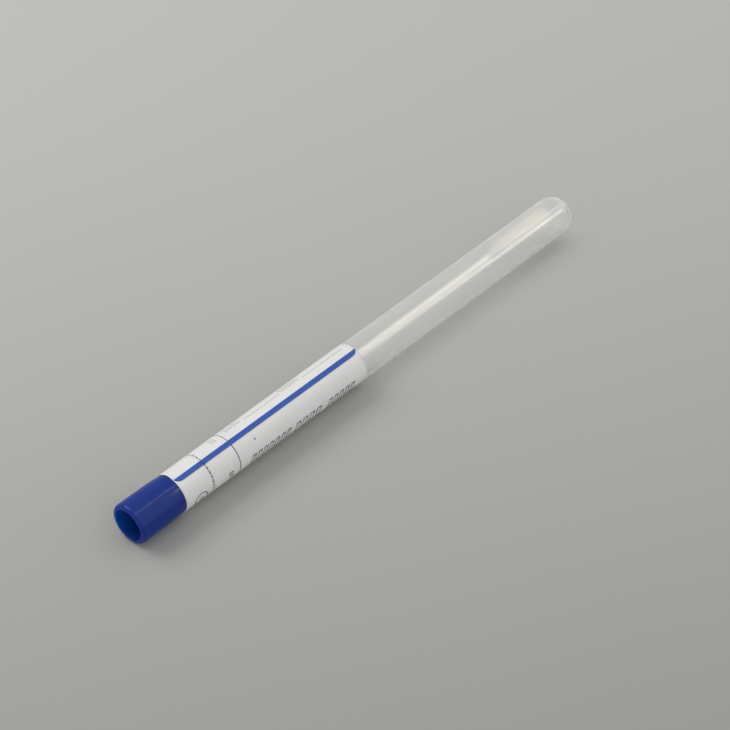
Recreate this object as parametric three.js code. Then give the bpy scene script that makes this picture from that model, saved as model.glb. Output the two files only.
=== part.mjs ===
// Specimen swab tube, lying on its side. A round-bottomed plastic tube is closed by a plug cap,
// and the cap carries a shaft with a cotton tip, so that the swab comes out with the cap. A paper
// label is wound round the tube and on over the cap's collar. Its tear line lies at the tube's
// mouth, so the end of the paper on the collar, the seal band, leaves with the cap.
//
// Millimetres, +Z up. The axis of the tube lies along X with the cap at -X. The origin is under
// the middle of the length, on the surface that the part lies on. Sections are worked out along
// the axis from the cap's open rim, and the whole part is moved to its origin at the end.

import * as THREE from 'three';

// ---------- driving dimensions, mm ----------

// Flats round a turned piece. One of them is underneath, so the part lies still.
const FLATS = 16;
const ARC_STEPS = 4;

// Tube
const TUBE_RADIUS = 6.0;
const TUBE_WALL = 0.9;
const TUBE_LENGTH = 154.9;
const TUBE_LIP_ROUNDING = 0.25;
const TUBE_BOTTOM_STEPS = 8;

// Cap: a hollow grip, a collar under the seal band, and a plug in the tube's mouth. The grip
// stands out from the tube by its flare, and the collar lies in from it by its step.
const GRIP_FLARE = 0.35;
const GRIP_TAPER = 0.07;
const GRIP_LENGTH = 16.3;
const SHOULDER_LENGTH = 4.0;
const COLLAR_STEP = 0.04;
const COLLAR_LENGTH = 10.4;
const CAP_WALL = 1.4;
const RIM_OUTER_ROUNDING = 1.0;
const RIM_INNER_ROUNDING = 0.15;
const HOLLOW_FLOOR = 1.1;
const HOLLOW_FILLET = 1.0;
const SEAT_GAP = 0.05;
const PLUG_LENGTH = 10.0;
const PLUG_CLEARANCE = 0.05;
const PLUG_WALL = 0.9;
const PLUG_LEAD_IN = 0.5;
const BOSS_WALL = 1.0;
const BOSS_SETBACK = 0.6;
const SOCKET_FLOOR = 0.9;

// Shaft, which is bowed a little to one side
const SHAFT_RADIUS = 1.3;
const SHAFT_CLEARANCE = 0.04;
const SHAFT_SIDES = 12;
const SHAFT_STEPS = 32;
const BOW_DIRECTION = THREE.MathUtils.degToRad(39);

// Cotton tip, wound on the end of the shaft, and the room left round it in the tube
const TIP_RADIUS = 2.5;
const TIP_LENGTH = 26.0;
const TIP_TAPER_LENGTH = 14.6;
const TIP_NECK_THICKNESS = 0.3;
const TIP_END_ROUNDING = 1.7;
const TIP_COVER = 2.2;
const TIP_FLATS = 16;
const TIP_TO_WALL = 1.2;
const TIP_TO_BOTTOM = 6.3;

// Label: one paper sheet with round corners, tear line included
const LABEL_LENGTH = 61.4;
const LABEL_THICKNESS = 0.1;
const LABEL_GAP = 0.03;
const LABEL_OVERLAP = 4.8;
const LABEL_CORNER = 2.2;
const LABEL_EDGE_ANGLE = THREE.MathUtils.degToRad(114.3);
const TEAR_LINE_GAP = 0.1;

// ---------- places along the axis, from the cap's rim ----------

const mouth = GRIP_LENGTH + COLLAR_LENGTH;
const tubeEnd = mouth + TUBE_LENGTH;
const plugEnd = mouth + PLUG_LENGTH;
const socketFloor = mouth + SOCKET_FLOOR;
const swabEnd = tubeEnd - TUBE_WALL - TIP_TO_BOTTOM;

// ---------- radii and the shaft's bow ----------

const tubeBore = TUBE_RADIUS - TUBE_WALL;
const gripRadius = TUBE_RADIUS + GRIP_FLARE;
const collarRadius = TUBE_RADIUS - COLLAR_STEP;
const boreRadius = SHAFT_RADIUS + SHAFT_CLEARANCE;
const bow = tubeBore - TIP_RADIUS - TIP_TO_WALL;

// ---------- profiles: points of [radius, place along the axis] ----------

function arc(centreRadius, centrePlace, radius, fromDegrees, toDegrees, steps = ARC_STEPS) {
  const points = [];
  for (let i = 0; i <= steps; i++) {
    const angle = THREE.MathUtils.degToRad(fromDegrees + ((toDegrees - fromDegrees) * i) / steps);
    points.push([centreRadius + radius * Math.cos(angle), centrePlace + radius * Math.sin(angle)]);
  }
  return points;
}

// A profile turned about the axis. Its radii are measured to the flats, so two pieces with the
// same number of flats keep the same clearance all round.
function turned(profile, flats = FLATS) {
  const toCorner = 1 / Math.cos(Math.PI / flats);
  const points = profile.map(([radius, place]) => new THREE.Vector2(radius * toCorner, place));
  const geometry = new THREE.LatheGeometry(points, flats, Math.PI / flats);
  return geometry.rotateZ(-Math.PI / 2);
}

function tubeGeometry() {
  const bottom = tubeEnd - TUBE_RADIUS;
  const lip = TUBE_LIP_ROUNDING;
  const profile = [
    ...arc(0, bottom, tubeBore, 90, 0, TUBE_BOTTOM_STEPS),
    ...arc(tubeBore + lip, mouth + lip, lip, 180, 270),
    ...arc(TUBE_RADIUS - lip, mouth + lip, lip, 270, 360),
    ...arc(0, bottom, TUBE_RADIUS, 0, 90, TUBE_BOTTOM_STEPS),
  ];
  return turned(profile);
}

// The shoulder is an arc that leaves the grip and comes down to the collar.
function shoulder() {
  const top = gripRadius - GRIP_TAPER;
  const drop = top - collarRadius;
  const radius = (SHOULDER_LENGTH ** 2 + drop ** 2) / (2 * drop);
  const sweep = THREE.MathUtils.radToDeg(Math.asin(SHOULDER_LENGTH / radius));
  return arc(top - radius, GRIP_LENGTH - SHOULDER_LENGTH, radius, 0, sweep);
}

function capGeometry() {
  const hollowRim = gripRadius - CAP_WALL;
  const hollowFloor = mouth - HOLLOW_FLOOR;
  const hollowEnd = collarRadius - CAP_WALL;
  const seat = mouth - SEAT_GAP;
  const plugRadius = tubeBore - PLUG_CLEARANCE;
  const plugInner = plugRadius - PLUG_WALL;
  const bossRadius = boreRadius + BOSS_WALL;
  const bossEnd = plugEnd - BOSS_SETBACK;
  const outer = RIM_OUTER_ROUNDING;
  const inner = RIM_INNER_ROUNDING;
  const profile = [
    [0, hollowFloor],
    ...arc(hollowEnd - HOLLOW_FILLET, hollowFloor - HOLLOW_FILLET, HOLLOW_FILLET, 90, 0),
    ...arc(hollowRim + inner, inner, inner, 180, 270),
    ...arc(gripRadius - outer, outer, outer, 270, 360),
    ...shoulder(),
    [collarRadius, seat],
    [plugRadius, seat],
    [plugRadius, plugEnd - PLUG_LEAD_IN],
    [plugRadius - PLUG_LEAD_IN / 2, plugEnd],
    [plugInner, plugEnd],
    [plugInner, socketFloor],
    [bossRadius, socketFloor],
    [bossRadius, bossEnd],
    [boreRadius, bossEnd],
    [boreRadius, socketFloor],
    [0, socketFloor],
  ];
  return turned(profile);
}

// ---------- swab ----------

// The shaft's centre line: straight along the axis in the socket, then bowed like a beam that is
// pushed aside at its free end.
function shaftCurve() {
  const start = socketFloor + SHAFT_CLEARANCE;
  const length = swabEnd - TIP_COVER - start;
  const point = (share, aside) =>
    new THREE.Vector3(
      start + share * length,
      aside * bow * Math.cos(BOW_DIRECTION),
      aside * bow * Math.sin(BOW_DIRECTION),
    );
  return new THREE.CubicBezierCurve3(point(0, 0), point(1 / 3, 0), point(2 / 3, 0.5), point(1, 1));
}

function shaftGeometry(curve) {
  const section = new THREE.Shape();
  section.absarc(0, 0, SHAFT_RADIUS, 0, 2 * Math.PI);
  return new THREE.ExtrudeGeometry(section, {
    steps: SHAFT_STEPS,
    curveSegments: SHAFT_SIDES / 2,
    extrudePath: curve,
  });
}

// The tip's own origin is the end of the shaft inside it.
function tipGeometry() {
  const neck = TIP_COVER - TIP_LENGTH;
  const full = neck + TIP_TAPER_LENGTH;
  const rounding = TIP_END_ROUNDING;
  const profile = [
    [0, SHAFT_CLEARANCE],
    [boreRadius, SHAFT_CLEARANCE],
    [boreRadius, neck],
    [boreRadius + TIP_NECK_THICKNESS, neck],
    [TIP_RADIUS, full],
    ...arc(TIP_RADIUS - rounding, TIP_COVER - rounding, rounding, 0, 90),
    [0, TIP_COVER],
  ];
  return turned(profile, TIP_FLATS);
}

// ---------- label ----------

// How far a paper layer is lifted at an angle: it climbs over the sheet's own first edge.
function layerLift(angle, firstEdge) {
  const step = (2 * Math.PI) / FLATS;
  const lap = Math.floor((firstEdge + 2 * Math.PI) / step) * step - step / 2;
  const climb = THREE.MathUtils.clamp((angle - lap + step) / step, 0, 1);
  return climb * (LABEL_THICKNESS + LABEL_GAP);
}

// Distance from the axis to a faceted layer whose flats lie at a radius.
function facetedRadius(radius, angle) {
  const step = (2 * Math.PI) / FLATS;
  return radius / Math.cos(angle - Math.round(angle / step) * step);
}

// A sheet wound round the tube between two places along it. The angles at which it is worked out
// are the corners of the flats, and a few more where its own corners are rounded.
function woundSheet(from, to, roundFrom, roundTo) {
  const innerRadius = TUBE_RADIUS + LABEL_GAP;
  const overlap = LABEL_OVERLAP / innerRadius;
  const corner = LABEL_CORNER / innerRadius;
  const firstEdge = LABEL_EDGE_ANGLE - overlap;
  const lastEdge = LABEL_EDGE_ANGLE + 2 * Math.PI;
  const step = (2 * Math.PI) / FLATS;

  const angles = [];
  for (let i = 0; i <= ARC_STEPS; i++) {
    const share = 1 - Math.cos((i / ARC_STEPS) * (Math.PI / 2));
    angles.push(firstEdge + corner * share, lastEdge - corner * share);
  }
  for (let k = Math.ceil(firstEdge / step - 0.5); (k + 0.5) * step < lastEdge; k++) {
    angles.push((k + 0.5) * step);
  }
  angles.sort((a, b) => a - b);

  const positions = [];
  for (const angle of angles) {
    const inset = cornerInset(Math.min(angle - firstEdge, lastEdge - angle) * innerRadius);
    const near = from + (roundFrom ? inset : 0);
    const far = to - (roundTo ? inset : 0);
    const layer = innerRadius + layerLift(angle, firstEdge);
    const inner = facetedRadius(layer, angle);
    const outer = facetedRadius(layer + LABEL_THICKNESS, angle);
    for (const [place, radius] of [[near, inner], [near, outer], [far, outer], [far, inner]]) {
      positions.push(place, radius * Math.cos(angle), radius * Math.sin(angle));
    }
  }

  const indices = [0, 1, 2, 0, 2, 3];
  const last = 4 * (angles.length - 1);
  indices.push(last, last + 2, last + 1, last, last + 3, last + 2);
  for (let base = 0; base < last; base += 4) {
    for (let side = 0; side < 4; side++) {
      const a = base + side;
      const b = base + ((side + 1) % 4);
      indices.push(a, b + 4, b, a, a + 4, b + 4);
    }
  }

  const geometry = new THREE.BufferGeometry();
  geometry.setAttribute('position', new THREE.Float32BufferAttribute(positions, 3));
  geometry.setIndex(indices);
  return geometry;
}

// How far a round corner draws the sheet's side in, at a distance from the sheet's edge.
function cornerInset(distance) {
  const short = Math.max(LABEL_CORNER - distance, 0);
  return LABEL_CORNER - Math.sqrt(LABEL_CORNER ** 2 - short ** 2);
}

// ---------- assembly ----------

function piece(name, geometry, colour, roughness) {
  const material = new THREE.MeshStandardMaterial({ color: colour, roughness, metalness: 0 });
  const mesh = new THREE.Mesh(geometry, material);
  mesh.name = name;
  return mesh;
}

function swab() {
  const curve = shaftCurve();
  const tip = piece('cotton_tip', tipGeometry(), 0xe6e3d8, 1.0);
  tip.position.copy(curve.getPoint(1));
  tip.quaternion.setFromUnitVectors(new THREE.Vector3(1, 0, 0), curve.getTangent(1));
  const group = new THREE.Group();
  group.add(piece('shaft', shaftGeometry(curve), 0xecebe4, 0.45), tip);
  return group;
}

const part = new THREE.Group();
part.add(
  piece('tube', tubeGeometry(), 0xc9cac5, 0.3),
  piece('cap', capGeometry(), 0x27509e, 0.35),
  swab(),
  piece('label', woundSheet(mouth + TEAR_LINE_GAP, mouth + LABEL_LENGTH, false, true), 0xe9ebee, 0.7),
  piece('seal_band', woundSheet(GRIP_LENGTH, mouth - TEAR_LINE_GAP, true, false), 0xe9ebee, 0.7),
);
part.position.set(-tubeEnd / 2, 0, gripRadius);

export default part;
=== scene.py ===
"""Specimen swab tube, lying on its side: the finished surface of every piece.

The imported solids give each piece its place. A frosted tube is closed by a blue plug cap that
carries a bowed shaft with a wound cotton tip. One paper sheet is wound round both: the label on
the tube and, past the tear line, the seal band on the cap's collar.
"""

import math
import random

import bmesh
import bpy
from bpy.props import FloatProperty, FloatVectorProperty, IntProperty, PointerProperty
from mathutils import Matrix, Vector, geometry, noise


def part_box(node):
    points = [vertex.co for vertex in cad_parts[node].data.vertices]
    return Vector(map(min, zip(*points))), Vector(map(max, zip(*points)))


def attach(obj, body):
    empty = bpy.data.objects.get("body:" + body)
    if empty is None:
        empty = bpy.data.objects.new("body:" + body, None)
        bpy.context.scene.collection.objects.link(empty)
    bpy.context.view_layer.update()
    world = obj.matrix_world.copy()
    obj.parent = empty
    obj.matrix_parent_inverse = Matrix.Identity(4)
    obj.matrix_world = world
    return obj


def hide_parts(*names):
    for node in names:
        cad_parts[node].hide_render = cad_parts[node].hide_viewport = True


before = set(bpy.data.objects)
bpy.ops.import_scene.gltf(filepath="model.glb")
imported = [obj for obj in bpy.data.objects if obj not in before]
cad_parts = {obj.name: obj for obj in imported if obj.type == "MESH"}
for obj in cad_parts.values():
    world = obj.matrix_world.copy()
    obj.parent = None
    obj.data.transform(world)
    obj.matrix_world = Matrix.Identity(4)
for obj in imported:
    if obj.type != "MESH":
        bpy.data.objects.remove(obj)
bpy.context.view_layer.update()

bl_info = {
    "name": "Specimen Swab Tube",
    "version": (1, 0, 0),
    "blender": (4, 5, 0),
    "location": "View3D > Sidebar > Swab Tube",
    "description": "Builds a capped specimen tube with its swab, label and a plain stage",
    "category": "Add Mesh",
}

MM = 0.001

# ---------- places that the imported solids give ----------

TUBE_LOW, TUBE_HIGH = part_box("tube")
CAP_LOW, CAP_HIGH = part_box("cap")

AXIS_HEIGHT = (TUBE_LOW.z + TUBE_HIGH.z) / 2
TUBE_RADIUS = (TUBE_HIGH.z - TUBE_LOW.z) / 2
GRIP_RADIUS = (CAP_HIGH.z - CAP_LOW.z) / 2
CAP_RIM = CAP_LOW.x
MOUTH = TUBE_LOW.x
TUBE_END = TUBE_HIGH.x
PLUG_END = CAP_HIGH.x
SOCKET_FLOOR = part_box("shaft")[0].x

BODY_TUBE = "tube_with_label"
BODY_SWAB = "swab_with_cap"

# UV maps hold places on the flat sheet in tenths of a metre, and the print is laid out in mm.
SHEET_UV = 0.1


def length(name, description, default, **more):
    """A length that the sidebar shows with its unit."""
    return FloatProperty(
        name=name, description=description, default=default, unit="LENGTH", precision=5, **more
    )


def colour(name, description, default):
    """A colour that the sidebar shows as a swatch."""
    return FloatVectorProperty(
        name=name, description=description, default=default, size=3, subtype="COLOR", min=0, max=1
    )


def share(name, description, default):
    """A number from 0 to 1 that the sidebar shows as a slider."""
    return FloatProperty(
        name=name, description=description, default=default, subtype="FACTOR", min=0, max=1
    )


def angle(name, description, degrees):
    """An angle that the sidebar shows in degrees."""
    return FloatProperty(
        name=name, description=description, default=math.radians(degrees), unit="ROTATION"
    )


# ---------- what a user would change ----------


class SWAB_TUBE_PG_tube(bpy.types.PropertyGroup):
    """Sizes of the tube."""

    wall: length("Wall", "Thickness of the tube's wall", 0.9 * MM)
    lip_rounding: length("Lip rounding", "Radius of the mouth's two edges", 0.25 * MM)
    sides: IntProperty(name="Sides", description="Steps round a turned piece", default=128, min=16)


class SWAB_TUBE_PG_cap(bpy.types.PropertyGroup):
    """Sizes of the plug cap."""

    grip_length: length("Grip length", "From the rim to the seal band", 16.3 * MM)
    grip_taper: length("Grip taper", "How much thinner the grip is at its shoulder", 0.07 * MM)
    shoulder_length: length("Shoulder length", "Length of the curve down to the collar", 3.6 * MM)
    shoulder_rounding: length("Shoulder rounding", "Bend at the start of the shoulder", 2.4 * MM)
    collar_step: length("Collar step", "How far the collar lies in from the tube", 0.04 * MM)
    seat_gap: length("Seat gap", "Clearance between the collar and the mouth", 0.05 * MM)
    wall: length("Wall", "Thickness of the grip's wall", 1.4 * MM)
    rim_outer: length("Outer rim rounding", "Radius of the rim's outer edge", 1.0 * MM)
    rim_inner: length("Inner rim rounding", "Radius of the rim's inner edge", 0.15 * MM)
    hollow_floor: length("Hollow floor", "Plastic between the hollow and the mouth", 1.1 * MM)
    hollow_fillet: length("Hollow fillet", "Radius at the bottom of the hollow", 1.0 * MM)
    plug_clearance: length("Plug clearance", "Between the plug and the tube's bore", 0.05 * MM)
    plug_wall: length("Plug wall", "Thickness of the plug's wall", 0.9 * MM)
    plug_lead_in: length("Plug lead-in", "Chamfer at the end of the plug", 0.5 * MM)
    boss_wall: length("Boss wall", "Plastic round the shaft's socket", 1.0 * MM)
    boss_setback: length("Boss setback", "How far the boss ends before the plug", 0.6 * MM)
    edge_rounding: length("Edge rounding", "Radius of the small edges", 0.12 * MM)


class SWAB_TUBE_PG_swab(bpy.types.PropertyGroup):
    """Sizes of the shaft and the cotton tip."""

    shaft_radius: length("Shaft radius", "Radius of the shaft", 1.3 * MM)
    shaft_clearance: length("Shaft clearance", "Round the shaft in the cap and the tip", 0.04 * MM)
    bow: length("Bow", "How far the shaft's free end lies off the axis", 1.4 * MM)
    bow_direction: angle("Bow direction", "Side of the bow, from +Y towards +Z", 39)
    tip_radius: length("Tip radius", "Radius of the cotton", 2.5 * MM)
    tip_length: length("Tip length", "Length of the cotton", 26.0 * MM)
    tip_taper: length("Tip taper", "Length over which the cotton thickens", 14.6 * MM)
    tip_neck: length("Tip neck", "Thickness of the cotton where it starts", 0.3 * MM)
    tip_end_rounding: length("Tip end rounding", "Radius of the blunt end", 1.7 * MM)
    tip_cover: length("Tip cover", "Cotton past the end of the shaft", 2.2 * MM)
    tip_to_bottom: length("Tip to bottom", "Room past the cotton in the tube", 6.3 * MM)
    strand_pitch: length("Strand pitch", "Distance between wound strands", 0.62 * MM)
    strand_depth: length("Strand depth", "Depth of the grooves between strands", 0.05 * MM)
    loose_fibres: IntProperty(
        name="Loose fibres", description="Fibres that stand off the cotton", default=170, min=0
    )
    fibre_radius: length("Fibre radius", "Radius of a loose fibre", 0.018 * MM)
    fibre_length: length("Fibre length", "Length of a loose fibre", 2.4 * MM)


class SWAB_TUBE_PG_sheet(bpy.types.PropertyGroup):
    """Sizes of the paper sheet that is the label and the seal band."""

    thickness: length("Thickness", "Thickness of the paper", 0.1 * MM)
    gap: length("Gap", "Glue line under the paper", 0.03 * MM)
    overlap: length("Overlap", "How far the sheet laps over itself", 4.8 * MM)
    corner: length("Corner", "Radius of the sheet's corners", 2.2 * MM)
    edge_angle: angle("Edge angle", "Place of the free edge, from +Y towards +Z", 114.3)
    climb_angle: angle("Climb angle", "Turn over which the lap climbs onto the sheet", 9)
    label_length: length("Label length", "From the tear line to the far edge", 61.4 * MM)
    tear_slot: length("Tear slot", "Half the width of a slot in the tear line", 0.09 * MM)
    tear_bridge: length("Tear bridge", "Half the gap where the paper still holds", 0.012 * MM)
    tear_pitch: length("Tear pitch", "Distance from slot to slot", 1.4 * MM)
    tear_share: share("Slot share", "Part of each pitch that is a slot or a dash", 0.65)
    tear_whole: length("Tear end", "Paper beside the free edge that has no slots", 1.7 * MM)
    rows: IntProperty(name="Rows", description="Steps round the sheet", default=180, min=32)
    column: length("Column", "Length of one step along the sheet", 0.9 * MM)


class SWAB_TUBE_PG_finish(bpy.types.PropertyGroup):
    """Colours of the pieces."""

    tube: colour("Tube", "Milky plastic, seen straight on", (0.76, 0.757, 0.738))
    # The edge colour is partly the plastic's milkier look edge-on and partly a painted glow.
    tube_painted_edge_glow: colour("Tube, edge", "Milky plastic, seen along its wall", (0.975, 0.97, 0.945))
    cap: colour("Cap", "Blue plastic of the cap", (0.002, 0.0260, 0.232))
    # The two hollow colours are painted light and painted shade, not colours of the plastic.
    cap_painted_glow: colour("Cap, lit inside", "Where light comes through the wall", (0.003, 0.085, 0.430))
    cap_painted_shade: colour("Cap, dark inside", "The shaded side of the hollow", (0.003, 0.022, 0.150))
    cap_deep: colour("Cap, deep", "Darker flow marks in the cap", (0.001, 0.0215, 0.200))
    shaft: colour("Shaft", "White plastic of the shaft", (0.83, 0.81, 0.72))
    cotton: colour("Cotton", "Wound cotton", (0.95, 0.912, 0.78))
    # Painted shade between the fibres.
    cotton_painted_shade: colour("Cotton, deep", "Between the strands", (0.76, 0.70, 0.54))
    paper: colour("Paper", "White paper of the label", (0.735, 0.734, 0.722))
    stripe: colour("Stripe", "Blue stripe along the free edge", (0.007, 0.067, 0.355))
    ink: colour("Ink", "Dark ink of the lines and shapes", (0.055, 0.055, 0.085))


class SWAB_TUBE_PG_stage(bpy.types.PropertyGroup):
    """The camera, the floor and the light."""

    camera_azimuth: angle("Camera azimuth", "Turn of the camera about +Z, from -Y", -46.541)
    camera_elevation: angle("Camera elevation", "Height of the camera above the horizon", 43.988)
    camera_distance: length("Camera distance", "From the camera to its aim", 825.5 * MM)
    aim_along: length("Aim along", "Place of the aim along the tube", -1.02 * MM)
    aim_aside: length("Aim aside", "Place of the aim across the tube", -3.53 * MM)
    focal_length: FloatProperty(
        name="Focal length", description="Lens length, in mm", default=141.77, min=1
    )
    floor: colour("Floor", "Matt paint, at its lightest", (0.456, 0.461, 0.4355))
    # The floor's shade is painted into its colour.
    floor_painted_shade: share("Floor shade", "How light the near floor is next to the far floor", 0.588)
    floor_near: length("Floor near", "Where the shade is full, from the middle", -330 * MM)
    floor_far: length("Floor far", "Where the shade is gone, from the middle", 200 * MM)
    fade_turn: angle("Fade turn", "Turn of the shade from the view's direction", -8)
    floor_size: length("Floor size", "Side of the floor", 6)
    room_light: FloatProperty(
        name="Room light", description="Strength of the even light", default=0.72, min=0
    )
    room_lean: FloatProperty(
        name="Lean", description="How much of the room's light comes from the front", default=0.44
    )
    key_power: FloatProperty(name="Key", description="Power of the broad lamp, in W", default=8.6)
    front_power: FloatProperty(
        name="Front strip", description="Power of the front strip, in W", default=2.5
    )
    top_power: FloatProperty(
        name="Top strip", description="Power of the top strip, in W", default=3.0
    )


class SWAB_TUBE_PG_settings(bpy.types.PropertyGroup):
    """All the settings of the swab tube."""

    tube: PointerProperty(type=SWAB_TUBE_PG_tube)
    cap: PointerProperty(type=SWAB_TUBE_PG_cap)
    swab: PointerProperty(type=SWAB_TUBE_PG_swab)
    sheet: PointerProperty(type=SWAB_TUBE_PG_sheet)
    finish: PointerProperty(type=SWAB_TUBE_PG_finish)
    stage: PointerProperty(type=SWAB_TUBE_PG_stage)


# ---------- turned pieces ----------

# A rounding has a step for each of these lengths, and never fewer than this many steps.
BEVEL_STEP_LENGTH = 0.25 * MM
BEVEL_STEPS = 6


def wire(corners):
    """A wire in the XZ plane through (place along, radius, rounding) corners."""
    mesh = bmesh.new()
    points = [mesh.verts.new((along, 0, AXIS_HEIGHT + radius)) for along, radius, _ in corners]
    for a, b in zip(points, points[1:]):
        mesh.edges.new((a, b))
    for point, (_, _, rounding) in zip(points, corners):
        if rounding:
            steps = max(BEVEL_STEPS, int(rounding / BEVEL_STEP_LENGTH))
            bmesh.ops.bevel(
                mesh, geom=[point], offset=rounding, offset_type="OFFSET", segments=steps,
                profile=0.5, affect="VERTICES", material=-1,
            )
    return mesh


def turn(mesh, steps):
    """Turns a wire about the tube's axis into a closed skin with its faces out."""
    bmesh.ops.spin(
        mesh, geom=mesh.verts[:] + mesh.edges[:], cent=(0, 0, AXIS_HEIGHT), axis=(1, 0, 0),
        angle=2 * math.pi, steps=steps, use_merge=True, use_duplicate=False,
    )
    bmesh.ops.remove_doubles(mesh, verts=mesh.verts[:], dist=1e-6)
    bmesh.ops.recalc_face_normals(mesh, faces=mesh.faces[:])
    return mesh


def added(name, data):
    """Puts a new object into the scene."""
    made = bpy.data.objects.new(name, data)
    bpy.context.scene.collection.objects.link(made)
    return made


def built(mesh, name, material):
    """Makes an object of a bmesh, with its finish."""
    data = bpy.data.meshes.new(name)
    mesh.to_mesh(data)
    mesh.free()
    data.materials.append(material)
    return added(name, data)


def finished(mesh, name, body, nodes, material, sharp=35):
    """Makes a piece of a bmesh, gives it its body and finish, and hides the imported parts it stands
    for.
    """
    piece = built(mesh, name, material)
    piece.data.shade_smooth()
    piece.data.set_sharp_from_angle(angle=math.radians(sharp))
    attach(piece, body)
    if nodes:
        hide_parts(*nodes)
    return piece


def tube_mesh(sizes):
    """A round-bottomed tube with an even wall and rounded lips."""
    bore = TUBE_RADIUS - sizes.wall
    inner_end = TUBE_END - sizes.wall
    return turn(
        wire([
            (inner_end, 0, 0),
            (inner_end, bore, bore),
            (MOUTH, bore, sizes.lip_rounding),
            (MOUTH, TUBE_RADIUS, sizes.lip_rounding),
            (TUBE_END, TUBE_RADIUS, TUBE_RADIUS),
            (TUBE_END, 0, 0),
        ]),
        sizes.sides,
    )


def cap_mesh(sizes, tube, swab):
    """A hollow grip, a collar for the seal band, and a plug with the shaft's socket."""
    collar = TUBE_RADIUS - sizes.collar_step
    shoulder_top = GRIP_RADIUS - sizes.grip_taper
    grip_end = CAP_RIM + sizes.grip_length
    seat = MOUTH - sizes.seat_gap
    hollow_floor = MOUTH - sizes.hollow_floor
    plug = TUBE_RADIUS - tube.wall - sizes.plug_clearance
    plug_inner = plug - sizes.plug_wall
    bore = swab.shaft_radius + swab.shaft_clearance
    boss = bore + sizes.boss_wall
    boss_end = PLUG_END - sizes.boss_setback
    floor = SOCKET_FLOOR - swab.shaft_clearance
    edge = sizes.edge_rounding
    return turn(
        wire([
            (hollow_floor, 0, 0),
            (hollow_floor, collar - sizes.wall, sizes.hollow_fillet),
            (CAP_RIM, GRIP_RADIUS - sizes.wall, sizes.rim_inner),
            (CAP_RIM, GRIP_RADIUS, sizes.rim_outer),
            (grip_end - sizes.shoulder_length, shoulder_top, sizes.shoulder_rounding),
            (grip_end, collar, edge),
            (seat, collar, edge),
            (seat, plug, edge),
            (PLUG_END - sizes.plug_lead_in, plug, edge),
            (PLUG_END, plug - sizes.plug_lead_in / 2, edge),
            (PLUG_END, plug_inner, edge),
            (floor, plug_inner, edge),
            (floor, boss, edge),
            (boss_end, boss, edge),
            (boss_end, bore, edge),
            (floor, bore, 0),
            (floor, 0, 0),
        ]),
        tube.sides,
    )


# ---------- swab ----------

LINE_STEPS = 60
SHAFT_SIDES = 48
SHAFT_END_ROUNDING = 0.2 * MM
TIP_SIDES = 160
TIP_STEP_LENGTH = 0.12 * MM
TIP_NECK_ROUNDING = 0.1 * MM
TIP_SHOULDER_ROUNDING = 5 * MM
SKIN_MARGIN = 0.1 * MM

# Each layer has its number of strands, which is negative where they slope the other way, and
# its start as a share of the pitch.
STRAND_LAYERS = ((7, 0.0), (-9, 0.37))
STRAND_WANDER = 0.6
UNEVEN_LENGTH = 1.7 * MM
# Shares of the depth from each layer's grooves and from the broad unevenness.
GROOVE_SHARE = 0.35
UNEVEN_SHARE = 0.8

# A loose fibre's slope in radians, its share of the full length, its free end's lift in mm, and
# the share of the taper that has no fibres.
FIBRE_SLOPE = 0.9
FIBRE_REACH = (0.4, 1.0)
FIBRE_LIFT = (0.05, 0.4)
FIBRE_START = 0.3
FIBRE_STEPS = 6
FIBRE_SIDES = 3
FIBRE_SEED = 7


def swab_line(sizes, tube):
    """Points on the shaft's centre line: it leaves the socket straight and is bowed aside."""
    reach = TUBE_END - tube.wall - sizes.tip_to_bottom - sizes.tip_cover - SOCKET_FLOOR
    aside = Vector((0, math.cos(sizes.bow_direction), math.sin(sizes.bow_direction)))

    def knot(along, off):
        return Vector((SOCKET_FLOOR + along * reach, 0, AXIS_HEIGHT)) + off * sizes.bow * aside

    knots = knot(0, 0), knot(1 / 3, 0), knot(2 / 3, 0.5), knot(1, 1)
    return geometry.interpolate_bezier(*knots, LINE_STEPS + 1)


def seat_on(points, i):
    """A matrix that puts the X axis on a line of points at one of them."""
    ahead = points[min(i + 1, len(points) - 1)] - points[max(i - 1, 0)]
    return Matrix.Translation(points[i]) @ ahead.to_track_quat("X", "Z").to_matrix().to_4x4()


def draw_rod(mesh, points, radius, sides):
    """Draws a round rod out along a line of points and closes its two ends."""
    across = Matrix.Rotation(math.pi / 2, 4, "Y")
    start = bmesh.ops.create_circle(
        mesh, cap_ends=False, segments=sides, radius=radius, matrix=seat_on(points, 0) @ across
    )
    ring = list({edge for vert in start["verts"] for edge in vert.link_edges})
    first = ring
    for i in range(1, len(points)):
        grown = bmesh.ops.extrude_edge_only(mesh, edges=ring)["geom"]
        ring = [item for item in grown if isinstance(item, bmesh.types.BMEdge)]
        bmesh.ops.transform(
            mesh, matrix=seat_on(points, i) @ seat_on(points, i - 1).inverted(),
            verts=[item for item in grown if isinstance(item, bmesh.types.BMVert)],
        )
    return bmesh.ops.holes_fill(mesh, edges=first + ring, sides=0)["faces"]


def shaft_mesh(sizes, tube):
    """The bowed shaft, with its two ends a little rounded."""
    mesh = bmesh.new()
    ends = draw_rod(mesh, swab_line(sizes, tube), sizes.shaft_radius, SHAFT_SIDES)
    bmesh.ops.recalc_face_normals(mesh, faces=mesh.faces[:])
    bmesh.ops.bevel(
        mesh, geom=list({edge for face in ends for edge in face.edges}),
        offset=SHAFT_END_ROUNDING, offset_type="OFFSET", segments=3, profile=0.5,
        affect="EDGES", material=-1,
    )
    return mesh


def refine(mesh, spacing):
    """Cuts a wire's long edges into short ones."""
    for edge in mesh.edges[:]:
        cuts = int(edge.calc_length() / spacing)
        if cuts:
            bmesh.ops.subdivide_edges(mesh, edges=[edge], cuts=cuts)


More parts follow.
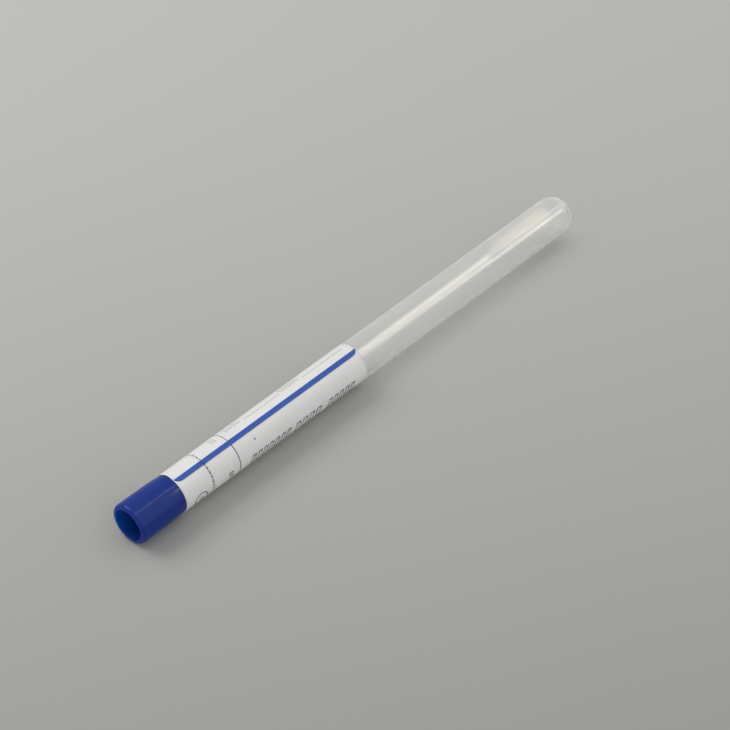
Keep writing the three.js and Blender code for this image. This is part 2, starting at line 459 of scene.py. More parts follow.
def strand_depth(sizes, along, turned):
    """How deep the wound cotton lies at a place: strands cross at two slopes, unevenly."""
    uneven = noise.noise(Vector((along / UNEVEN_LENGTH, math.cos(turned), math.sin(turned))))
    depth = 0
    for slope, offset in STRAND_LAYERS:
        phase = along / sizes.strand_pitch + slope * turned / (2 * math.pi) + offset
        depth += 0.5 - 0.5 * math.cos(2 * math.pi * (phase + STRAND_WANDER * uneven))
    return sizes.strand_depth * (GROOVE_SHARE * depth + UNEVEN_SHARE * (0.5 + 0.5 * uneven))


def tip_mesh(sizes, tube):
    """Cotton wound on the end of the shaft, with the grooves of its strands."""
    start = sizes.tip_cover - sizes.tip_length
    full = start + sizes.tip_taper
    inner = sizes.shaft_radius + sizes.shaft_clearance
    rounding = sizes.tip_end_rounding
    mesh = wire([
        (sizes.shaft_clearance, 0, 0),
        (sizes.shaft_clearance, inner, 0),
        (start, inner, 0),
        (start, inner + sizes.tip_neck, TIP_NECK_ROUNDING),
        (full, sizes.tip_radius, TIP_SHOULDER_ROUNDING),
        (sizes.tip_cover, sizes.tip_radius, rounding),
        (sizes.tip_cover, 0, 0),
    ])
    refine(mesh, TIP_STEP_LENGTH)
    turn(mesh, TIP_SIDES)
    # Only the outer skin has grooves, and the socket round the shaft stays smooth.
    for vert in mesh.verts:
        radius = math.hypot(vert.co.y, vert.co.z - AXIS_HEIGHT)
        past_shaft = vert.co.x > sizes.shaft_clearance + SKIN_MARGIN
        if past_shaft or radius > inner + 0.5 * sizes.tip_neck:
            turned = math.atan2(vert.co.z - AXIS_HEIGHT, vert.co.y)
            vert.co -= strand_depth(sizes, vert.co.x, turned) * vert.normal
    line = swab_line(sizes, tube)
    place = seat_on(line, len(line) - 1) @ Matrix.Translation((0, 0, -AXIS_HEIGHT))
    bmesh.ops.transform(mesh, matrix=place, verts=mesh.verts[:])
    return mesh


def fibre_mesh(sizes, tube, draw):
    """Loose fibres that lie on the cotton and lift off it a little."""
    line = swab_line(sizes, tube)
    place = seat_on(line, len(line) - 1)
    start = sizes.tip_cover - sizes.tip_length
    mesh = bmesh.new()
    for _ in range(sizes.loose_fibres):
        along = draw.uniform(
            start + FIBRE_START * sizes.tip_taper, sizes.tip_cover - sizes.tip_end_rounding
        )
        thick = min(1, (along - start) / sizes.tip_taper)
        inner = sizes.shaft_radius + sizes.tip_neck
        radius = inner + (sizes.tip_radius - inner) * thick - sizes.strand_depth
        turned = draw.uniform(0, 2 * math.pi)
        slope = draw.uniform(-FIBRE_SLOPE, FIBRE_SLOPE)
        reach = sizes.fibre_length * draw.uniform(*FIBRE_REACH)
        lift = draw.uniform(*FIBRE_LIFT) * MM
        points = []
        for i in range(FIBRE_STEPS + 1):
            step = i / FIBRE_STEPS
            ahead = turned + math.cos(slope) * reach * step / radius
            off = radius + lift * step**2
            points.append(place @ Vector((
                along + math.sin(slope) * reach * step, off * math.cos(ahead), off * math.sin(ahead),
            )))
        draw_rod(mesh, points, sizes.fibre_radius, FIBRE_SIDES)
    bmesh.ops.recalc_face_normals(mesh, faces=mesh.faces[:])
    return mesh


# ---------- paper ----------

MIN_COLUMNS = 8


def corner_inset(sizes, distance):
    """How far a round corner draws the sheet's side in, at a distance from its edge."""
    short = max(sizes.corner - distance, 0)
    return sizes.corner - math.sqrt(sizes.corner**2 - short**2)


def wound_sheet(sizes, start, end, round_start, round_end):
    """A stretch of the paper between two places along the tube, first flat and then wound."""
    inner = TUBE_RADIUS + sizes.gap
    first = sizes.edge_angle - sizes.overlap / inner
    width = inner * (sizes.edge_angle + 2 * math.pi - first)
    columns = max(MIN_COLUMNS, round((end - start) / sizes.column))
    slot = sizes.tear_slot - sizes.tear_bridge

    mesh = bmesh.new()
    uv = mesh.loops.layers.uv.new("Sheet")
    bmesh.ops.create_grid(mesh, x_segments=columns, y_segments=sizes.rows, size=0.5)
    bmesh.ops.translate(mesh, vec=(0.5, 0.5, 0), verts=mesh.verts[:])
    for vert in mesh.verts:
        across = vert.co.y * width
        inset = corner_inset(sizes, min(across, width - across))
        in_pitch = (across / sizes.tear_pitch) % 1
        in_slot = across < width - sizes.tear_whole and in_pitch < sizes.tear_share
        near = start + (inset if round_start else sizes.tear_bridge + slot * in_slot)
        far = end - (inset if round_end else sizes.tear_bridge + slot * in_slot)
        vert.co = near + (far - near) * vert.co.x, across, 0
    for face in mesh.faces:
        for loop in face.loops:
            flat = loop.vert.co
            loop[uv].uv = (flat.x - CAP_RIM) / SHEET_UV, flat.y / SHEET_UV

    for vert in mesh.verts:
        turned = first + vert.co.y / inner
        over = (turned - (first + 2 * math.pi)) / sizes.climb_angle + 1
        climb = max(0, min(1, over))
        # A smooth step: the lap leaves the tube and lands on the sheet without a bend.
        lift = (3 - 2 * climb) * climb**2 * (sizes.thickness + sizes.gap)
        vert.co = (
            vert.co.x,
            (inner + lift) * math.cos(turned),
            AXIS_HEIGHT + (inner + lift) * math.sin(turned),
        )
    mesh.normal_update()
    mesh.faces.ensure_lookup_table()
    outward = mesh.faces[0].calc_center_median() - Vector((0, 0, AXIS_HEIGHT))
    if mesh.faces[0].normal.dot(outward) < 0:
        bmesh.ops.reverse_faces(mesh, faces=mesh.faces[:])
    return mesh


def thicken(piece, sizes):
    """Gives a sheet its paper's thickness, outwards."""
    wall = piece.modifiers.new("Paper", "SOLIDIFY")
    wall.thickness = sizes.thickness
    wall.offset = 1


# ---------- finishes ----------

NODE_SPACING = 180


class Finish:
    """Adds nodes to a tree and links them, so that a finish reads from top to bottom."""

    def __init__(self, tree):
        self.tree = tree

    def node(self, kind, inputs=None, **settings):
        made = self.tree.nodes.new(kind)
        made.location = NODE_SPACING * len(self.tree.nodes), 0
        for name, value in settings.items():
            setattr(made, name, value)
        for socket, value in (inputs or {}).items():
            self.feed(made.inputs[socket], value)
        return made

    def feed(self, socket, value):
        if isinstance(value, bpy.types.NodeSocket):
            self.tree.links.new(value, socket)
        else:
            socket.default_value = value

    def math(self, operation, *values):
        made = self.node("ShaderNodeMath", operation=operation)
        for socket, value in zip(made.inputs, values):
            self.feed(socket, value)
        return made.outputs[0]

    def times(self, first, second):
        return self.math("MULTIPLY", first, second)

    def distance(self, first, second):
        squares = self.math("ADD", self.math("POWER", first, 2), self.math("POWER", second, 2))
        return self.math("SQRT", squares)

    def mix(self, factor, low, high):
        # The node's colour sockets are its inputs 6 and 7 and its output 2.
        made = self.node("ShaderNodeMix", data_type="RGBA")
        self.feed(made.inputs["Factor"], factor)
        self.feed(made.inputs[6], low)
        self.feed(made.inputs[7], high)
        return made.outputs[2]

    def noise(self, vector, scale, detail=2.0, roughness=0.5):
        made = self.node("ShaderNodeTexNoise", {
            "Vector": vector, "Scale": scale, "Detail": detail, "Roughness": roughness,
        })
        return made.outputs["Fac"]

    def fitted(self, value, low, high, to_low=0.0, to_high=1.0):
        made = self.node("ShaderNodeMapRange", {
            "Value": value, "From Min": low, "From Max": high, "To Min": to_low, "To Max": to_high,
        })
        return made.outputs["Result"]

    def placed(self, group, inputs):
        made = self.node("ShaderNodeGroup", node_tree=group)
        for socket, value in inputs.items():
            self.feed(made.inputs[socket], value)
        return made.outputs


def rgba(value):
    """A colour with full opacity."""
    return tuple(value) + (1.0,)


def new_group(name, inputs, outputs):
    """An empty node group with named sockets, and its input and output nodes."""
    tree = bpy.data.node_groups.new(name, "ShaderNodeTree")
    for socket, kind, default in inputs:
        made = tree.interface.new_socket(name=socket, in_out="INPUT", socket_type=kind)
        made.default_value = default
    for socket in outputs:
        tree.interface.new_socket(name=socket, in_out="OUTPUT", socket_type="NodeSocketFloat")
    finish = Finish(tree)
    return finish, finish.node("NodeGroupInput").outputs, finish.node("NodeGroupOutput").inputs


def number(name, default=0.0):
    """A number socket of a node group."""
    return name, "NodeSocketFloat", default


def grain_group():
    """Fine grain and broad unevenness of a moulded or rolled surface."""
    name = "Surface grain"
    if name in bpy.data.node_groups:
        return bpy.data.node_groups[name]
    vector = ("Vector", "NodeSocketVector", (0, 0, 0))
    finish, given, out = new_group(
        name, [vector, number("Fine Scale", 4000), number("Broad Scale", 150)], ["Fine", "Broad"]
    )
    fine = finish.noise(given["Vector"], given["Fine Scale"], detail=3.0, roughness=0.6)
    finish.feed(out["Fine"], fine)
    broad = finish.noise(given["Vector"], given["Broad Scale"])
    finish.feed(out["Broad"], finish.fitted(broad, 0.15, 0.85))
    return finish.tree


def bar_group():
    """A printed bar: 1 inside a rectangle on the sheet, 0 outside."""
    finish, given, out = new_group("Printed bar", [
        number("Along"), number("Round"), number("Centre Along"), number("Half Length", 1),
        number("Centre Round"), number("Half Width", 1),
    ], ["Mask"])
    along = finish.math("COMPARE", given["Along"], given["Centre Along"], given["Half Length"])
    round_it = finish.math("COMPARE", given["Round"], given["Centre Round"], given["Half Width"])
    finish.feed(out["Mask"], finish.times(along, round_it))
    return finish.tree


def ring_group():
    """A printed ring or dot round a centre on the sheet."""
    finish, given, out = new_group("Printed ring", [
        number("Along"), number("Round"), number("Centre Along"), number("Centre Round"),
        number("Radius", 1), number("Half Stroke", 0.1),
    ], ["Mask"])
    along = finish.math("SUBTRACT", given["Along"], given["Centre Along"])
    round_it = finish.math("SUBTRACT", given["Round"], given["Centre Round"])
    distance = finish.distance(along, round_it)
    on_ring = finish.math("COMPARE", distance, given["Radius"], given["Half Stroke"])
    finish.feed(out["Mask"], on_ring)
    return finish.tree


def cells_group():
    """A printed row of open, slanted cells, as on a form."""
    finish, given, out = new_group("Printed cells", [
        number("Along"), number("Round"), number("Start"), number("Length", 10), number("Pitch", 2),
        number("Foot"), number("Height", 3), number("Stroke", 0.3), number("Slant", 0),
        number("Space", 0.5),
    ], ["Mask"])
    rise = finish.math("SUBTRACT", given["Foot"], given["Round"])
    lean = finish.times(rise, given["Slant"])
    along = finish.math("SUBTRACT", finish.math("SUBTRACT", given["Along"], given["Start"]), lean)
    half_length = finish.times(given["Length"], 0.5)
    half_height = finish.times(given["Height"], 0.5)
    in_row = finish.times(
        finish.math("COMPARE", along, half_length, half_length),
        finish.math("COMPARE", rise, half_height, half_height),
    )
    half_pitch = finish.times(given["Pitch"], 0.5)
    from_middle = finish.math(
        "ABSOLUTE",
        finish.math("SUBTRACT", finish.math("FLOORED_MODULO", along, given["Pitch"]), half_pitch),
    )
    edge = finish.math("SUBTRACT", half_pitch, finish.times(given["Space"], 0.5))
    in_cell = finish.math("LESS_THAN", from_middle, edge)
    upright = finish.math("GREATER_THAN", from_middle, finish.math("SUBTRACT", edge, given["Stroke"]))
    from_mid_height = finish.math("ABSOLUTE", finish.math("SUBTRACT", rise, half_height))
    level = finish.math(
        "GREATER_THAN", from_mid_height, finish.math("SUBTRACT", half_height, given["Stroke"])
    )
    stroke = finish.math("MAXIMUM", upright, level)
    finish.feed(out["Mask"], finish.times(in_row, finish.times(in_cell, stroke)))
    return finish.tree


def new_material(name):
    """A material with its nodes, its Principled shader and Object coordinates."""
    material = bpy.data.materials.new(name)
    material.use_nodes = True
    finish = Finish(material.node_tree)
    shader = material.node_tree.nodes["Principled BSDF"]
    place = finish.node("ShaderNodeTexCoord").outputs["Object"]
    return material, finish, shader, place


def set_values(shader, values):
    """Sets plain values on the shader's own sockets."""
    for socket, value in values.items():
        shader.inputs[socket].default_value = value


def add_bump(finish, shader, height, distance):
    """Feeds a height to the shader's normal. Distance is in metres."""
    bump = finish.node("ShaderNodeBump", {"Distance": distance, "Height": height})
    finish.feed(shader.inputs["Normal"], bump.outputs["Normal"])


# The facing value at which the tube's edge colour, partly a painted glow, is full, and the share that
# clouds darken.
TUBE_GLOW_FULL = 0.7
TUBE_CLOUD = 0.02
TUBE_ROUGHNESS = (0.28, 0.30)


def tube_plastic(colours):
    """Frosted, translucent plastic: some light is scattered back and the rest comes through."""
    material, finish, shader, place = new_material("tube_plastic")
    grain = finish.placed(grain_group(), {"Vector": place, "Fine Scale": 2500, "Broad Scale": 90})
    # Edge-on the wall is painted lighter: partly the longer path through the frosted wall, partly a
    # painted glow.
    slope = finish.node("ShaderNodeLayerWeight", {"Blend": 0.5}).outputs["Facing"]
    edge = finish.fitted(slope, 0, TUBE_GLOW_FULL)
    milky_with_painted_glow = finish.mix(edge, rgba(colours.tube), rgba(colours.tube_painted_edge_glow))
    uneven = finish.mix(finish.fitted(grain["Broad"], 0, 1, 0, TUBE_CLOUD), milky_with_painted_glow, (0, 0, 0, 1))
    finish.feed(shader.inputs["Base Color"], uneven)
    finish.feed(shader.inputs["Roughness"], finish.fitted(grain["Broad"], 0, 1, *TUBE_ROUGHNESS))
    set_values(shader, {
        "Transmission Weight": 0.87,
        "Sheen Weight": 0.85,
        "Sheen Roughness": 0.45,
        "Coat Weight": 0.5,
        "Coat Roughness": 0.2,
        "Subsurface Weight": 1.0,
        "Subsurface Radius": (1.0, 1.0, 1.0),
        "Subsurface Scale": 1.5 * MM,
        "IOR": 1.49,
    })
    path = finish.node("ShaderNodeLightPath").outputs
    passed = finish.math("MAXIMUM", path["Is Shadow Ray"], path["Is Diffuse Ray"])
    clear = finish.node("ShaderNodeBsdfTransparent", {"Color": (0.995, 0.995, 0.995, 1)})
    both = finish.node("ShaderNodeMixShader", {0: passed, 1: shader.outputs[0], 2: clear.outputs[0]})
    output = material.node_tree.nodes["Material Output"]
    finish.feed(output.inputs["Surface"], both.outputs[0])
    return material


# The hollow's colours fade in between these distances outside its wall.
HOLLOW_FADE = (0.25 * MM, 0.05 * MM)
# The hollow's inside is painted lighter on this side, in Y and Z, as if light came through the wall,
# and painted darker on the other.
PAINTED_LIGHT_SIDE = (0.812, 0.584)
CAP_ROUGHNESS = (0.34, 0.42)


def cap_plastic(colours, hollow_radius):
    """Satin blue plastic with faint flow marks; its hollow has painted light on one side and painted
    shade on the other.
    """
    material, finish, shader, place = new_material("cap_plastic")
    grain = finish.placed(grain_group(), {"Vector": place, "Fine Scale": 3000, "Broad Scale": 160})
    outside = finish.mix(grain["Broad"], rgba(colours.cap_deep), rgba(colours.cap))
    split = finish.node("ShaderNodeSeparateXYZ", {"Vector": place})
    height = finish.math("SUBTRACT", split.outputs["Z"], AXIS_HEIGHT)
    off_axis = finish.distance(split.outputs["Y"], height)
    inside = finish.fitted(off_axis, *(hollow_radius + fade for fade in HOLLOW_FADE))
    # Painted light and shade in the hollow: lighter towards one side, darker away from it.
    toward_painted_light = finish.math(
        "ADD",
        finish.times(split.outputs["Y"], PAINTED_LIGHT_SIDE[0]),
        finish.times(height, PAINTED_LIGHT_SIDE[1]),
    )
    lit = finish.fitted(toward_painted_light, -hollow_radius, hollow_radius)
    inner = finish.mix(lit, rgba(colours.cap_painted_shade), rgba(colours.cap_painted_glow))
    finish.feed(shader.inputs["Base Color"], finish.mix(inside, outside, inner))
    finish.feed(shader.inputs["Roughness"], finish.fitted(grain["Fine"], 0.3, 0.7, *CAP_ROUGHNESS))
    set_values(shader, {
        "Specular IOR Level": 0.15,
        "Coat Weight": 0.25,
        "Coat Roughness": 0.15,
        "Subsurface Weight": 1.0,
        "Subsurface Radius": (0.3, 1.2, 2.5),
        "Subsurface Scale": MM,
    })
    add_bump(finish, shader, grain["Fine"], 0.006 * MM)
    return material


SHAFT_DULL = 0.95
SHAFT_ROUGHNESS = (0.32, 0.42)


def shaft_plastic(colours):
    """Smooth white plastic."""
    material, finish, shader, place = new_material("shaft_plastic")
    grain = finish.placed(grain_group(), {"Vector": place, "Fine Scale": 2600, "Broad Scale": 120})
    dull = tuple(SHAFT_DULL * part for part in colours.shaft)
    white = finish.mix(grain["Broad"], rgba(dull), rgba(colours.shaft))
    finish.feed(shader.inputs["Base Color"], white)
    finish.feed(shader.inputs["Roughness"], finish.fitted(grain["Fine"], 0.3, 0.7, *SHAFT_ROUGHNESS))
    set_values(shader, {
        "Subsurface Weight": 1.0,
        "Subsurface Radius": (1.0, 1.0, 0.9),
        "Subsurface Scale": 3 * MM,
    })
    add_bump(finish, shader, grain["Fine"], 0.004 * MM)
    return material


# The fibres' pattern is drawn out round the tip and slants by COTTON_TURN radians.
COTTON_STRETCH = (1.0, 0.22, 0.22)
COTTON_TURN = 0.3


def cotton(colours):
    """Cream cotton: fine fibres that run round the tip, with painted shade in the fibre pattern."""
    material, finish, shader, place = new_material("cotton")
    stretched = finish.node("ShaderNodeMapping", {
        "Vector": place, "Scale": COTTON_STRETCH, "Rotation": (0, 0, COTTON_TURN),
    }).outputs["Vector"]
    fibres = finish.noise(stretched, 9000, detail=4.0, roughness=0.7)
    tufts = finish.noise(place, 700)
    # The darker parts of the fibre pattern are painted shade.
    shade = finish.times(finish.fitted(fibres, 0.3, 0.6), finish.fitted(tufts, 0.2, 0.6))
    cream = finish.mix(shade, rgba(colours.cotton_painted_shade), rgba(colours.cotton))
    finish.feed(shader.inputs["Base Color"], cream)
    set_values(shader, {
        "Roughness": 0.95,
        "Specular IOR Level": 0.2,
        "Subsurface Weight": 1.0,
        "Subsurface Radius": (1.0, 0.95, 0.8),
        "Subsurface Scale": 2 * MM,
        "Sheen Weight": 0.25,
        "Sheen Roughness": 0.5,
    })
    add_bump(finish, shader, finish.math("ADD", fibres, tufts), 0.05 * MM)
    return material


# The print on the flat sheet, in mm. Places are along from the cap's rim, and round from the
# sheet's first edge, which lies under the lap. A half is half a stroke or half a length.
SHEET_MIDDLE = 52.6
SHEET_REACH = 60.0
STRIPE_MIDDLE = 41.97
STRIPE_HALF = 0.80
TEAR_LINE = 26.7
FILL_LINE = 37.03
# The rings of print stop at the stripe. Each reach is its middle and half its length.
REACH_BELOW = (12.0, 12.0)
REACH_ABOVE = (32.58, 8.58)
LINE_HALF = 0.18
TEAR_HALF_ABOVE = 0.15
FILL_HALF_ABOVE = 0.13
# Each row of cells has its start, length and pitch.
WORD_CELLS = ((40.46, 16.2, 2.31), (57.85, 10.95, 2.74), (71.05, 11.35, 2.27))
WORD_STYLE = {"foot": 14.7, "height": 3.4, "stroke": 0.46, "slant": 0.3}
NOTE_CELLS = ((38.95, 5.94, 1.5), (60.84, 7.21, 1.5))
NOTE_STYLE = {"foot": 38.48, "height": 2.3, "stroke": 0.2}
# Two pairs of cells stand crosswise. Each has its start, foot and stroke.
PAIR_ROW = (2.6, 1.3)
PAIR_HEIGHT = 1.7
DARK_PAIR = (11.3, 34.3, 0.32)
FAINT_PAIR = (36.6, 35.0, 0.2)
# Each rule has its middle and half its length.
RULES = ((53.195, 7.035), (77.44, 8.02))
RULE_MIDDLE = 38.57
RULE_HALF = 0.11
RING_PLACE = (22.06, 13.75)
RING_RADII = (2.3, 0.6)
RING_HALF = 0.2
SPECK_PLACE = (44.2, 7.27)
SPECK_RADIUS = 0.28
# The strength of faint ink next to full ink, and the range of its patches.
FAINT_INK = 0.65
INK_PATCHES = (0.72, 0.95)
PAPER_DULL = 0.93
# Of the bare paper and of the stripe.
PAPER_ROUGHNESS = (0.62, 0.45)


def label_paper(colours, sheet):
    """Coated white paper with its print: a stripe, rings, rules, cells and dots."""
    material, finish, shader, place = new_material("label_paper")
    flat = finish.node("ShaderNodeUVMap", uv_map="Sheet").outputs["UV"]
    in_mm = finish.node(
        "ShaderNodeMapping", {"Vector": flat, "Scale": (SHEET_UV / MM, SHEET_UV / MM, 1)}
    ).outputs["Vector"]
    split = finish.node("ShaderNodeSeparateXYZ", {"Vector": in_mm})
    along, round_it = split.outputs["X"], split.outputs["Y"]
    spot = {"Along": along, "Round": round_it}
    turned = {"Along": round_it, "Round": along}

    bar, ring, cells = bar_group(), ring_group(), cells_group()

    def bar_mark(centre, half_length, middle, half_width):
        return finish.placed(bar, {
            **spot, "Centre Along": centre, "Half Length": half_length,
            "Centre Round": middle, "Half Width": half_width,
        })["Mask"]

    def line_mark(centre, half_stroke, reach):
        return bar_mark(centre, half_stroke, *reach)

    def cell_mark(start, span, pitch, foot, height, stroke, slant=0.0, spot=spot):
        return finish.placed(cells, {
            **spot, "Start": start, "Length": span, "Pitch": pitch, "Foot": foot,
            "Height": height, "Stroke": stroke, "Slant": slant, "Space": 0.3 * pitch,
        })["Mask"]

    def ring_mark(centre, middle, radius, half_stroke):
        return finish.placed(ring, {
            **spot, "Centre Along": centre, "Centre Round": middle,
            "Radius": radius, "Half Stroke": half_stroke,
        })["Mask"]

    def pair_mark(start, foot, stroke):
        return cell_mark(start, *PAIR_ROW, foot, PAIR_HEIGHT, stroke, spot=turned)

    def together(marks):
        whole = marks[0]
        for mark in marks[1:]:
            whole = finish.math("MAXIMUM", whole, mark)
        return whole

    stripe = bar_mark(SHEET_MIDDLE, SHEET_REACH, STRIPE_MIDDLE, STRIPE_HALF)
    in_pitch = finish.math("FRACT", finish.math("DIVIDE", round_it, sheet.tear_pitch / MM))
    dashes = finish.math("LESS_THAN", in_pitch, sheet.tear_share)
    dark = [finish.times(dashes, line_mark(TEAR_LINE, LINE_HALF, REACH_BELOW))]
    dark.append(line_mark(FILL_LINE, LINE_HALF, REACH_BELOW))
    dark.append(line_mark(FILL_LINE, FILL_HALF_ABOVE, REACH_ABOVE))
    dark += [cell_mark(*row, **WORD_STYLE) for row in WORD_CELLS]
    dark += [ring_mark(*RING_PLACE, radius, RING_HALF) for radius in RING_RADII]
    dark.append(ring_mark(*SPECK_PLACE, 0, SPECK_RADIUS))
    dark.append(pair_mark(*DARK_PAIR))
    faint = [bar_mark(*rule, RULE_MIDDLE, RULE_HALF) for rule in RULES]
    faint.append(finish.times(dashes, line_mark(TEAR_LINE, TEAR_HALF_ABOVE, REACH_ABOVE)))
    faint += [cell_mark(*row, **NOTE_STYLE) for row in NOTE_CELLS]
    faint.append(pair_mark(*FAINT_PAIR))

    pulp = finish.noise(place, 2200, detail=4.0, roughness=0.65)
    cloud = finish.noise(place, 260)
    shade = finish.math("ADD", finish.times(pulp, 0.6), finish.times(cloud, 0.4))
    dull = tuple(PAPER_DULL * part for part in colours.paper)
    paper = finish.mix(finish.fitted(shade, 0.35, 0.65), rgba(dull), rgba(colours.paper))
    printed = finish.mix(stripe, paper, rgba(colours.stripe))
    inked = finish.math("ADD", together(dark), finish.times(together(faint), FAINT_INK))
    patchy = finish.fitted(pulp, 0.3, 0.6, *INK_PATCHES)
    printed = finish.mix(finish.times(inked, patchy), printed, rgba(colours.ink))
    finish.feed(shader.inputs["Base Color"], printed)
    finish.feed(shader.inputs["Roughness"], finish.fitted(stripe, 0, 1, *PAPER_ROUGHNESS))
    add_bump(finish, shader, pulp, 0.008 * MM)
    return material


FLOOR_MOTTLE = (0.992, 1.008)


def floor_paint(sizes):
    """Matt pale grey, with painted shade that deepens towards the viewer."""
    material, finish, shader, place = new_material("floor_paint")
    grain = finish.placed(grain_group(), {"Vector": place, "Fine Scale": 900, "Broad Scale": 6})
    turned = finish.node("ShaderNodeMapping", {
        "Vector": place, "Rotation": (0, 0, sizes.fade_turn - sizes.camera_azimuth),
    }).outputs["Vector"]
    ahead = finish.node("ShaderNodeSeparateXYZ", {"Vector": turned}).outputs["Y"]
    # Painted shade: the colour darkens towards the viewer.
    fade = finish.node("ShaderNodeMapRange", {
        "Value": ahead, "From Min": sizes.floor_near, "From Max": sizes.floor_far,
        "To Min": sizes.floor_painted_shade, "To Max": 1.0,
    }, interpolation_type="SMOOTHSTEP").outputs["Result"]
    mottle = finish.fitted(grain["Broad"], 0, 1, *FLOOR_MOTTLE)
    scaled = finish.node("ShaderNodeVectorMath", {0: tuple(sizes.floor)}, operation="SCALE")
    finish.feed(scaled.inputs["Scale"], finish.times(fade, mottle))
    finish.feed(shader.inputs["Base Color"], scaled.outputs[0])
    set_values(shader, {
        "Roughness": 0.7,
        "Specular IOR Level": 0.2,
    })
    return material


def room_world(sizes):
    """Soft white light from all round, stronger from the front."""
    world = bpy.data.worlds.new("Room")
    bpy.context.scene.world = world
    world.use_nodes = True
    finish = Finish(world.node_tree)
    direction = finish.node("ShaderNodeTexCoord").outputs["Generated"]
    ahead = finish.node("ShaderNodeSeparateXYZ", {0: direction}).outputs["Y"]
    level = finish.fitted(ahead, -1, 1, 1 + sizes.room_lean, 1 - sizes.room_lean)
    light = world.node_tree.nodes["Background"]
    light.inputs["Color"].default_value = (1, 1, 1, 1)
    finish.feed(light.inputs["Strength"], finish.times(level, sizes.room_light))


# Each lamp's name, its place and its two sides, in metres.
KEY = ("Key", (-0.3, 0.85, 0.95), (1.0, 0.7))
FRONT_STRIP = ("Front strip", (1.08, -0.83, 0.99), (0.4, 0.3))
TOP_STRIP = ("Top strip", (0.3, -0.24, 1.28), (2.2, 0.03))


def add_lamp(name, place, size, aim, power):
    """A rectangular soft lamp that faces its aim, with its first side along the tube."""
    lamp = bpy.data.lights.new(name, "AREA")
    lamp.shape = "RECTANGLE"
    lamp.size, lamp.size_y = size
    lamp.energy = power
    holder = added(name, lamp)
    holder.location = place
    back = (Vector(place) - Vector(aim)).normalized()
    across = back.cross((1, 0, 0)).normalized()
    holder.rotation_mode = "QUATERNION"
    holder.rotation_quaternion = Matrix((across.cross(back), across, back)).transposed().to_quaternion()
    return holder


# ---------- operators ----------


class SWAB_TUBE_OT_stage(bpy.types.Operator):
    """Makes the camera, the floor and the soft light."""

    bl_idname = "swab_tube.stage"
    bl_label = "Stage"

    def execute(self, context):
        sizes = context.scene.swab_tube.stage
        aim = Vector((sizes.aim_along, sizes.aim_aside, AXIS_HEIGHT))
        flat = math.cos(sizes.camera_elevation)
        back = Vector((
            math.sin(sizes.camera_azimuth) * flat,
            -math.cos(sizes.camera_azimuth) * flat,
            math.sin(sizes.camera_elevation),
        ))
        lens = bpy.data.cameras.new("Camera")
        lens.lens = sizes.focal_length
        lens.clip_start, lens.clip_end = 0.01, 50
        camera = added("Camera", lens)
        camera.location = aim + back * sizes.camera_distance
        camera.rotation_mode = "QUATERNION"
        camera.rotation_quaternion = (-back).to_track_quat("-Z", "Y")
        context.scene.camera = camera
        context.scene.view_settings.view_transform = "Standard"

        mesh = bmesh.new()
        bmesh.ops.create_grid(mesh, x_segments=8, y_segments=8, size=sizes.floor_size / 2)
        floor = built(mesh, "floor", floor_paint(sizes))

        room_world(sizes)
        add_lamp(*KEY, aim, sizes.key_power)
        # The two strips only make highlights.
        for strip, power in ((FRONT_STRIP, sizes.front_power), (TOP_STRIP, sizes.top_power)):
            lamp = add_lamp(*strip, aim, power)
            lamp.visible_diffuse = False
        return {"FINISHED"}


class SWAB_TUBE_OT_tube(bpy.types.Operator):
    """Makes the frosted tube."""

    bl_idname = "swab_tube.tube"
    bl_label = "Tube"

    def execute(self, context):
        given = context.scene.swab_tube
        finished(
            tube_mesh(given.tube), "frosted_tube", BODY_TUBE, ["tube"],
            tube_plastic(given.finish),
        )
        return {"FINISHED"}


class SWAB_TUBE_OT_cap(bpy.types.Operator):
    """Makes the blue plug cap."""

    bl_idname = "swab_tube.cap"
    bl_label = "Cap"

    def execute(self, context):
        given = context.scene.swab_tube
        finished(
            cap_mesh(given.cap, given.tube, given.swab), "plug_cap", BODY_SWAB, ["cap"],
            cap_plastic(given.finish, GRIP_RADIUS - given.cap.wall),
        )
        return {"FINISHED"}


class SWAB_TUBE_OT_swab(bpy.types.Operator):
    """Makes the shaft, the cotton tip and its loose fibres."""

    bl_idname = "swab_tube.swab"
    bl_label = "Swab"

    def execute(self, context):
        given = context.scene.swab_tube
        sizes = given.swab
        finished(
            shaft_mesh(sizes, given.tube), "swab_shaft", BODY_SWAB, ["shaft"],
            shaft_plastic(given.finish),
        )
        fluff = cotton(given.finish)
        bud = finished(
            tip_mesh(sizes, given.tube), "cotton_bud", BODY_SWAB, ["cotton_tip"], fluff,
            sharp=60,
        )
        fibres = fibre_mesh(sizes, given.tube, random.Random(FIBRE_SEED))
        finished(fibres, "cotton_fibres", BODY_SWAB, [], fluff)
        return {"FINISHED"}


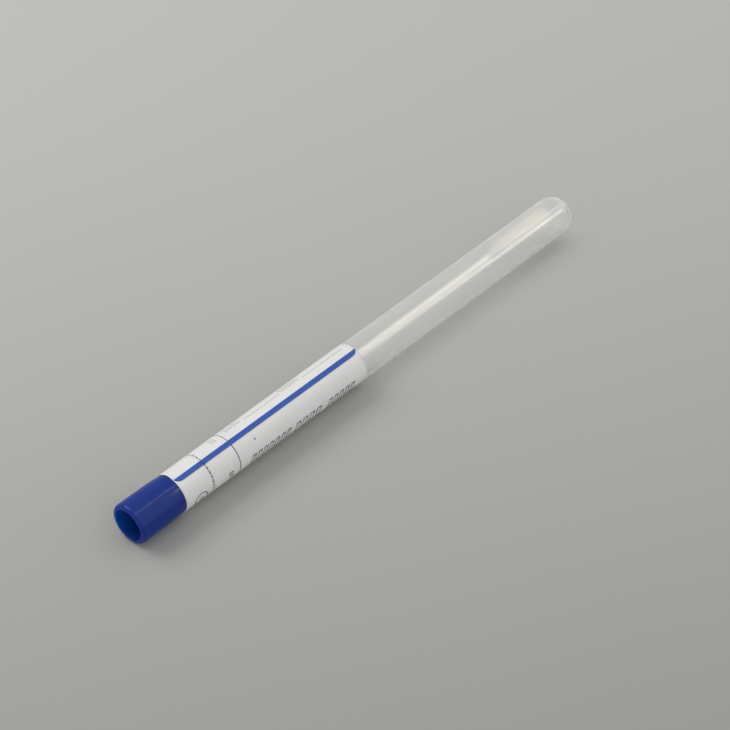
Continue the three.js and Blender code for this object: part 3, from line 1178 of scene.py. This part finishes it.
class SWAB_TUBE_OT_paper(bpy.types.Operator):
    """Makes the label and the seal band of one wound sheet."""

    bl_idname = "swab_tube.paper"
    bl_label = "Label and seal band"

    def execute(self, context):
        given = context.scene.swab_tube
        sizes = given.sheet
        paper = label_paper(given.finish, sizes)
        sheet_start = CAP_RIM + given.cap.grip_length
        label = wound_sheet(sizes, MOUTH, MOUTH + sizes.label_length, False, True)
        label = finished(label, "paper_label", BODY_TUBE, ["label"], paper)
        band = wound_sheet(sizes, sheet_start, MOUTH, True, False)
        band = finished(band, "paper_seal_band", BODY_SWAB, ["seal_band"], paper)
        for piece in (label, band):
            thicken(piece, sizes)
        return {"FINISHED"}


OPERATORS = (
    SWAB_TUBE_OT_stage,
    SWAB_TUBE_OT_tube,
    SWAB_TUBE_OT_cap,
    SWAB_TUBE_OT_swab,
    SWAB_TUBE_OT_paper,
)


class SWAB_TUBE_PT_sidebar(bpy.types.Panel):
    """Lists the operators and their settings."""

    bl_idname = "SWAB_TUBE_PT_sidebar"
    bl_label = "Swab Tube"
    bl_space_type = "VIEW_3D"
    bl_region_type = "UI"
    bl_category = "Swab Tube"

    def draw(self, context):
        given = context.scene.swab_tube
        for operator in OPERATORS:
            self.layout.operator(operator.bl_idname)
        for name in ("tube", "cap", "swab", "sheet", "finish", "stage"):
            group = getattr(given, name)
            box = self.layout.box()
            box.label(text=name.capitalize())
            for size in group.__annotations__:
                box.prop(group, size)


CLASSES = (
    SWAB_TUBE_PG_tube,
    SWAB_TUBE_PG_cap,
    SWAB_TUBE_PG_swab,
    SWAB_TUBE_PG_sheet,
    SWAB_TUBE_PG_finish,
    SWAB_TUBE_PG_stage,
    SWAB_TUBE_PG_settings,
    *OPERATORS,
    SWAB_TUBE_PT_sidebar,
)


def register():
    for made in CLASSES:
        bpy.utils.register_class(made)
    bpy.types.Scene.swab_tube = PointerProperty(type=SWAB_TUBE_PG_settings)


def unregister():
    del bpy.types.Scene.swab_tube
    for made in reversed(CLASSES):
        bpy.utils.unregister_class(made)


def main():
    register()
    bpy.ops.swab_tube.stage()
    bpy.ops.swab_tube.tube()
    bpy.ops.swab_tube.cap()
    bpy.ops.swab_tube.swab()
    bpy.ops.swab_tube.paper()


if __name__ == "__main__":
    main()
